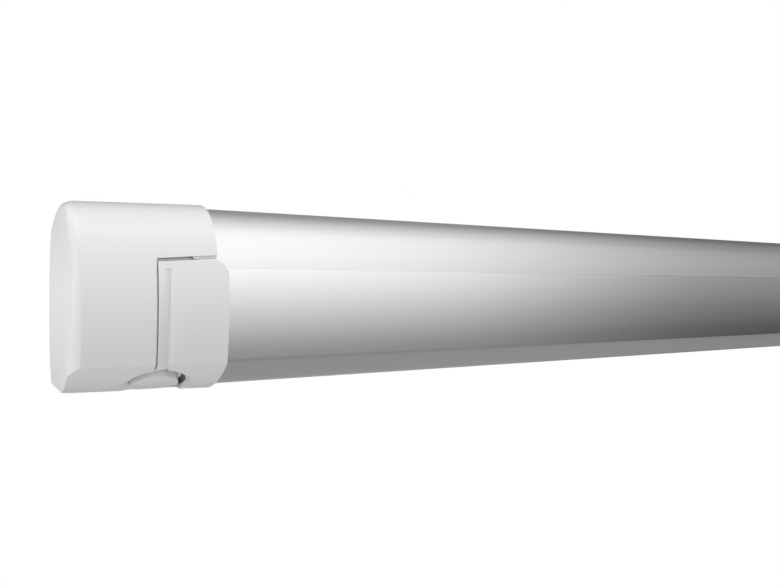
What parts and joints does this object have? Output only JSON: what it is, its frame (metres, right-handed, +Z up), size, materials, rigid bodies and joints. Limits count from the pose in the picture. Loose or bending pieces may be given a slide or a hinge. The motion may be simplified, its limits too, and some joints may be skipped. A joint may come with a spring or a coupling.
{
  "type": "roll out awning",
  "caption": "Closed roll out awning cassette for a camper wall: anodised housing and lead rail, white end caps, crank winch, folding arms and telescopic support legs.",
  "frame": {"origin": "on the wall face, at mid length of the cassette and 56 mm above its floor", "axes": "+X along the cassette to the winch end, +Y into the wall, +Z up; the front faces -Y"},
  "size_m": [2.3, 0.0955, 0.1482],
  "materials": {
    "white_plastic": "white, satin gloss, moulded",
    "anodised": "silver anodised extrusion",
    "cast_alloy": "satin casting",
    "steel": "plated steel",
    "dark_plastic": "dark grey moulded",
    "rubber": "matt black",
    "cloth": "grey coated awning cloth"
  },
  "bodies": {
    "housing": {"housing_profile": "anodised", "left_end_cap": "white_plastic", "right_end_cap": "white_plastic", "left_end_plate": "cast_alloy", "right_end_plate": "cast_alloy", "roller_bushes": "dark_plastic", "winch_plug": "white_plastic", "winch_bezel": "white_plastic", "winch_housing": "cast_alloy", "left_shoulder_bracket": "cast_alloy", "right_shoulder_bracket": "cast_alloy", "shoulder_pins": "steel", "housing_screws": "steel", "lip_seal": "rubber", "wall_seal": "rubber"},
    "roller": {"roller_tube": "anodised", "fabric_roll": "cloth", "left_roller_plug": "dark_plastic", "right_roller_plug": "dark_plastic", "worm_wheel": "steel"},
    "winch": {"winch_worm": "steel", "winch_eye": "steel"},
    "fabric": {"awning_fabric": "cloth"},
    "left_upper": {"left_upper_arm": "anodised", "left_shoulder_knuckle": "cast_alloy", "left_elbow_fork": "cast_alloy", "left_elbow_pin": "steel", "left_arm_spring": "steel"},
    "left_fore": {"left_forearm": "anodised", "left_elbow_eye": "cast_alloy", "left_wrist_knuckle": "cast_alloy"},
    "left_leg": {"left_leg_tube": "anodised", "left_leg_head": "dark_plastic", "left_leg_collar": "dark_plastic"},
    "left_leg_extension": {"left_leg_inner": "anodised", "left_leg_foot": "rubber"},
    "left_leg_lock": {"left_leg_lever": "dark_plastic"},
    "right_upper": {"right_upper_arm": "anodised", "right_shoulder_knuckle": "cast_alloy", "right_elbow_fork": "cast_alloy", "right_elbow_pin": "steel", "right_arm_spring": "steel"},
    "right_fore": {"right_forearm": "anodised", "right_elbow_eye": "cast_alloy", "right_wrist_knuckle": "cast_alloy"},
    "right_leg": {"right_leg_tube": "anodised", "right_leg_head": "dark_plastic", "right_leg_collar": "dark_plastic"},
    "right_leg_extension": {"right_leg_inner": "anodised", "right_leg_foot": "rubber"},
    "right_leg_lock": {"right_leg_lever": "dark_plastic"},
    "lead_rail": {"lead_rail_profile": "anodised", "left_lead_cap": "white_plastic", "right_lead_cap": "white_plastic", "left_wrist_bracket": "cast_alloy", "right_wrist_bracket": "cast_alloy", "wrist_pins": "steel", "hem_rod": "cloth", "leg_hinge_pins": "steel"}
  },
  "joints": [
    {"name": "left_shoulder", "type": "hinge", "parent": "housing", "child": "left_upper", "pos_m": [-1.025, -0.02, -0.0225], "axis": [0, 0, -1], "range_deg": [0, 68]},
    {"name": "left_elbow", "type": "hinge", "parent": "left_upper", "child": "left_fore", "pos_m": [-0.045, -0.033, -0.0225], "axis": [0, 0, -1], "range_deg": [-136, 0]},
    {"name": "left_wrist", "type": "hinge", "parent": "left_fore", "child": "lead_rail", "pos_m": [-1.025, -0.046, -0.0225], "axis": [0, 0, -1], "range_deg": [0, 68]},
    {"name": "right_shoulder", "type": "hinge", "parent": "housing", "child": "right_upper", "pos_m": [1.025, -0.02, -0.0225], "axis": [0, 0, 1], "range_deg": [0, 68]},
    {"name": "right_elbow", "type": "hinge", "parent": "right_upper", "child": "right_fore", "pos_m": [0.045, -0.033, -0.0225], "axis": [0, 0, 1], "range_deg": [-136, 0]},
    {"name": "roller_spin", "type": "hinge", "parent": "housing", "child": "roller", "pos_m": [0, -0.036, 0.021], "axis": [1, 0, 0], "range_deg": [-4105, 0]},
    {"name": "winch_spin", "type": "hinge", "parent": "housing", "child": "winch", "pos_m": [1.0985, -0.065, 0], "axis": [0, 0, 1], "range_deg": [-41049, 0]},
    {"name": "fabric_pull", "type": "slide", "parent": "housing", "child": "fabric", "axis": [0, -1, 0], "range_m": [0, 1.8015], "deforming": ["awning_fabric"]},
    {"name": "left_leg_fold", "type": "hinge", "parent": "lead_rail", "child": "left_leg", "pos_m": [-1.04, -0.04188, -0.046], "axis": [0, 1, 0], "range_deg": [0, 90]},
    {"name": "left_leg_slide", "type": "slide", "parent": "left_leg", "child": "left_leg_extension", "axis": [1, 0, 0], "range_m": [0, 0.84]},
    {"name": "left_leg_lock_turn", "type": "hinge", "parent": "left_leg", "child": "left_leg_lock", "pos_m": [-0.0461, -0.04188, -0.05345], "axis": [0, -1, 0], "range_deg": [0, 80]},
    {"name": "right_leg_fold", "type": "hinge", "parent": "lead_rail", "child": "right_leg", "pos_m": [1.04, -0.02252, -0.046], "axis": [0, -1, 0], "range_deg": [0, 90]},
    {"name": "right_leg_slide", "type": "slide", "parent": "right_leg", "child": "right_leg_extension", "axis": [-1, 0, 0], "range_m": [0, 0.84]},
    {"name": "right_leg_lock_turn", "type": "hinge", "parent": "right_leg", "child": "right_leg_lock", "pos_m": [0.0461, -0.02252, -0.05345], "axis": [0, 1, 0], "range_deg": [0, 80]}
  ],
  "couplings": [
    {"joint": "left_elbow", "follows": "left_shoulder", "ratio": -2},
    {"joint": "left_wrist", "follows": "left_shoulder", "ratio": 1},
    {"joint": "right_shoulder", "follows": "left_shoulder", "ratio": 1},
    {"joint": "right_elbow", "follows": "left_shoulder", "ratio": -2},
    {"joint": "roller_spin", "follows": "left_shoulder", "ratio": -60.337},
    {"joint": "winch_spin", "follows": "left_shoulder", "ratio": -603.37},
    {"joint": "fabric_pull", "follows": "left_shoulder", "m_per_rad": 1.5175}
  ]
}
